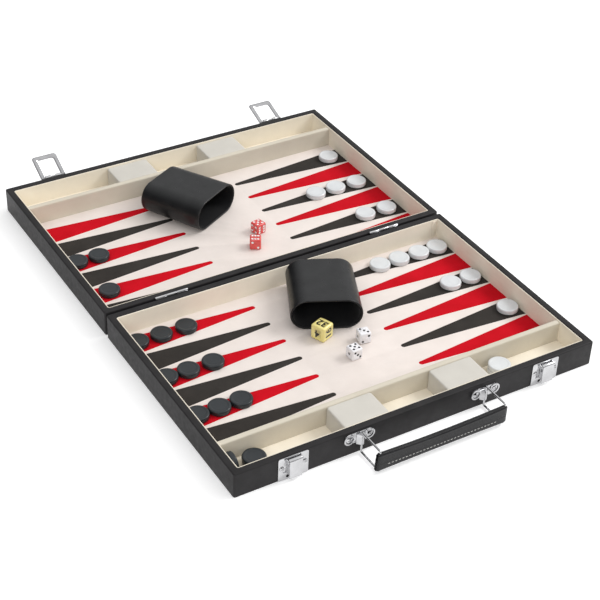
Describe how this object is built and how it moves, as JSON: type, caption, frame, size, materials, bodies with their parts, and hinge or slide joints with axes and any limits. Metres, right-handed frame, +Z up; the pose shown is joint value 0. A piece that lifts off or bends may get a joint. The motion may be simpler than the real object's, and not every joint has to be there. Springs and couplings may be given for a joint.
{
  "type": "backgammon case",
  "caption": "Hinged attache-style backgammon case, opened flat into a lined board with inlaid points, troughs, latches, a folding handle, dice cups, dice, a doubling cube and checkers.",
  "frame": {"origin": "centre of the base tray's underside, which rests on the table", "axes": "+X to the right along the hinge line, +Y from the base tray towards the lid tray, +Z up"},
  "size_m": [0.38, 0.5698, 0.0368],
  "materials": {
    "leatherette": "fine-grained charcoal leatherette, satin",
    "wood_board": "planed softwood, raw",
    "hardboard": "hardboard, raw",
    "velour_lining": "short-pile ivory velour",
    "play_felt": "short-pile greige felt",
    "red_felt": "short-pile red felt",
    "brown_felt": "short-pile dark brown felt",
    "chrome": "bright nickel plate",
    "steel_pins": "drawn steel wire",
    "grip_board": "pressed fibreboard strip",
    "black_leather": "ribbed black leather, glossy edges",
    "cup_leather": "smooth charcoal leatherette, satin",
    "cup_felt": "black felt",
    "white_checker": "turned resin, polished",
    "black_checker": "turned resin, polished",
    "white_die": "polished, black pips",
    "red_die": "translucent, white pips",
    "ivory_cube": "polished, engraved black numerals"
  },
  "bodies": {
    "base": {"base_leatherette": "leatherette", "base_frame": "wood_board", "base_bottom_board": "hardboard", "base_lining": "velour_lining", "base_play_felt": "play_felt", "base_red_points": "red_felt", "base_brown_points": "brown_felt", "base_divider": "velour_lining", "base_trough_blocks": "velour_lining", "hinge_base_leaves": "chrome", "hinge_pins": "steel_pins", "hinge_base_screws": "chrome", "latch_plates": "chrome", "latch_pins": "steel_pins", "latch_screws": "chrome", "handle_brackets": "chrome", "handle_screws": "chrome"},
    "lid": {"lid_leatherette": "leatherette", "lid_frame": "wood_board", "lid_bottom_board": "hardboard", "lid_lining": "velour_lining", "lid_play_felt": "play_felt", "lid_red_points": "red_felt", "lid_brown_points": "brown_felt", "lid_divider": "velour_lining", "lid_trough_blocks": "velour_lining", "hinge_lid_leaves": "chrome", "hinge_lid_screws": "chrome", "hasp_plates": "chrome", "hasp_screws": "chrome"},
    "loop_left": {"hasp_loop_left": "chrome"},
    "loop_right": {"hasp_loop_right": "chrome"},
    "lever_left": {"latch_lever_left": "chrome"},
    "lever_right": {"latch_lever_right": "chrome"},
    "ring_left": {"handle_ring_left": "chrome"},
    "ring_right": {"handle_ring_right": "chrome"},
    "grip": {"grip_core": "grip_board", "grip_cover": "black_leather"},
    "front_cup": {"front_cup_shell": "cup_leather", "front_cup_liner": "cup_felt"},
    "rear_cup": {"rear_cup_shell": "cup_leather", "rear_cup_liner": "cup_felt"},
    "white_die_near": {"white_die_near": "white_die"},
    "white_die_far": {"white_die_far": "white_die"},
    "red_die_near": {"red_die_near": "red_die"},
    "red_die_far": {"red_die_far": "red_die"},
    "doubling_cube": {"doubling_cube": "ivory_cube"},
    "white_base_right_near": {"white_base_right_near": "white_checker"},
    "white_base_right_middle": {"white_base_right_middle": "white_checker"},
    "white_base_right_front": {"white_base_right_front": "white_checker"},
    "white_lid_right_rear": {"white_lid_right_rear": "white_checker"},
    "white_lid_right_middle": {"white_lid_right_middle": "white_checker"},
    "white_lid_right_front": {"white_lid_right_front": "white_checker"},
    "white_trough_stack": {"white_trough_stack": "white_checker"},
    "black_base_left_near": {"black_base_left_near": "black_checker"},
    "black_base_left_middle": {"black_base_left_middle": "black_checker"},
    "black_base_left_front": {"black_base_left_front": "black_checker"},
    "black_lid_left_rear": {"black_lid_left_rear": "black_checker"},
    "black_lid_left_front": {"black_lid_left_front": "black_checker"},
    "black_trough_set": {"black_trough_set": "black_checker"}
  },
  "joints": [
    {"name": "lid_fold", "type": "hinge", "parent": "base", "child": "lid", "pos_m": [0, 0.1266, 0.0261], "axis": [-1, 0, 0], "range_deg": [-180, 0]},
    {"name": "loop_left_swing", "type": "hinge", "parent": "lid", "child": "loop_left", "pos_m": [-0.1335, 0.3837, 0.0225], "axis": [-1, 0, 0], "range_deg": [-70, 65]},
    {"name": "loop_right_swing", "type": "hinge", "parent": "lid", "child": "loop_right", "pos_m": [0.1335, 0.3837, 0.0225], "axis": [-1, 0, 0], "range_deg": [-77, 58]},
    {"name": "lever_left_lift", "type": "hinge", "parent": "base", "child": "lever_left", "pos_m": [-0.1335, -0.1284, 0.0212], "axis": [-1, 0, 0], "range_deg": [0, 55]},
    {"name": "lever_right_lift", "type": "hinge", "parent": "base", "child": "lever_right", "pos_m": [0.1335, -0.1284, 0.0212], "axis": [-1, 0, 0], "range_deg": [0, 55]},
    {"name": "ring_left_swing", "type": "hinge", "parent": "base", "child": "ring_left", "pos_m": [-0.0669, -0.1279, 0.0123], "axis": [0, 0, 1], "range_deg": [-60, 60]},
    {"name": "ring_right_swing", "type": "hinge", "parent": "base", "child": "ring_right", "pos_m": [0.0639, -0.1279, 0.0123], "axis": [0, 0, 1], "range_deg": [-60, 60]},
    {"name": "grip_swing", "type": "hinge", "parent": "ring_left", "child": "grip", "pos_m": [-0.0669, -0.1564, 0.0123], "axis": [0, 0, 1], "range_deg": [-60, 60]},
    {"name": "front_cup_lift", "type": "slide", "parent": "base", "child": "front_cup", "axis": [0, 0, 1], "range_m": [0, 0.04]},
    {"name": "rear_cup_lift", "type": "slide", "parent": "lid", "child": "rear_cup", "axis": [0, 0, 1], "range_m": [0, 0.04]},
    {"name": "white_die_near_lift", "type": "slide", "parent": "base", "child": "white_die_near", "axis": [0, 0, 1], "range_m": [0, 0.03]},
    {"name": "white_die_far_lift", "type": "slide", "parent": "base", "child": "white_die_far", "axis": [0, 0, 1], "range_m": [0, 0.03]},
    {"name": "red_die_near_lift", "type": "slide", "parent": "lid", "child": "red_die_near", "axis": [0, 0, 1], "range_m": [0, 0.03]},
    {"name": "red_die_far_lift", "type": "slide", "parent": "lid", "child": "red_die_far", "axis": [0, 0, 1], "range_m": [0, 0.03]},
    {"name": "doubling_cube_lift", "type": "slide", "parent": "base", "child": "doubling_cube", "axis": [0, 0, 1], "range_m": [0, 0.03]},
    {"name": "white_base_right_near_lift", "type": "slide", "parent": "base", "child": "white_base_right_near", "axis": [0, 0, 1], "range_m": [0, 0.03]},
    {"name": "white_base_right_middle_lift", "type": "slide", "parent": "base", "child": "white_base_right_middle", "axis": [0, 0, 1], "range_m": [0, 0.03]},
    {"name": "white_base_right_front_lift", "type": "slide", "parent": "base", "child": "white_base_right_front", "axis": [0, 0, 1], "range_m": [0, 0.03]},
    {"name": "white_lid_right_rear_lift", "type": "slide", "parent": "lid", "child": "white_lid_right_rear", "axis": [0, 0, 1], "range_m": [0, 0.03]},
    {"name": "white_lid_right_middle_lift", "type": "slide", "parent": "lid", "child": "white_lid_right_middle", "axis": [0, 0, 1], "range_m": [0, 0.03]},
    {"name": "white_lid_right_front_lift", "type": "slide", "parent": "lid", "child": "white_lid_right_front", "axis": [0, 0, 1], "range_m": [0, 0.03]},
    {"name": "white_trough_stack_lift", "type": "slide", "parent": "base", "child": "white_trough_stack", "axis": [0, 0, 1], "range_m": [0, 0.03]},
    {"name": "black_base_left_near_lift", "type": "slide", "parent": "base", "child": "black_base_left_near", "axis": [0, 0, 1], "range_m": [0, 0.03]},
    {"name": "black_base_left_middle_lift", "type": "slide", "parent": "base", "child": "black_base_left_middle", "axis": [0, 0, 1], "range_m": [0, 0.03]},
    {"name": "black_base_left_front_lift", "type": "slide", "parent": "base", "child": "black_base_left_front", "axis": [0, 0, 1], "range_m": [0, 0.03]},
    {"name": "black_lid_left_rear_lift", "type": "slide", "parent": "lid", "child": "black_lid_left_rear", "axis": [0, 0, 1], "range_m": [0, 0.03]},
    {"name": "black_lid_left_front_lift", "type": "slide", "parent": "lid", "child": "black_lid_left_front", "axis": [0, 0, 1], "range_m": [0, 0.03]},
    {"name": "black_trough_set_lift", "type": "slide", "parent": "base", "child": "black_trough_set", "axis": [0, 0, 1], "range_m": [0, 0.03]}
  ],
  "couplings": [
    {"joint": "ring_right_swing", "follows": "ring_left_swing", "ratio": 1},
    {"joint": "grip_swing", "follows": "ring_left_swing", "ratio": -1}
  ]
}
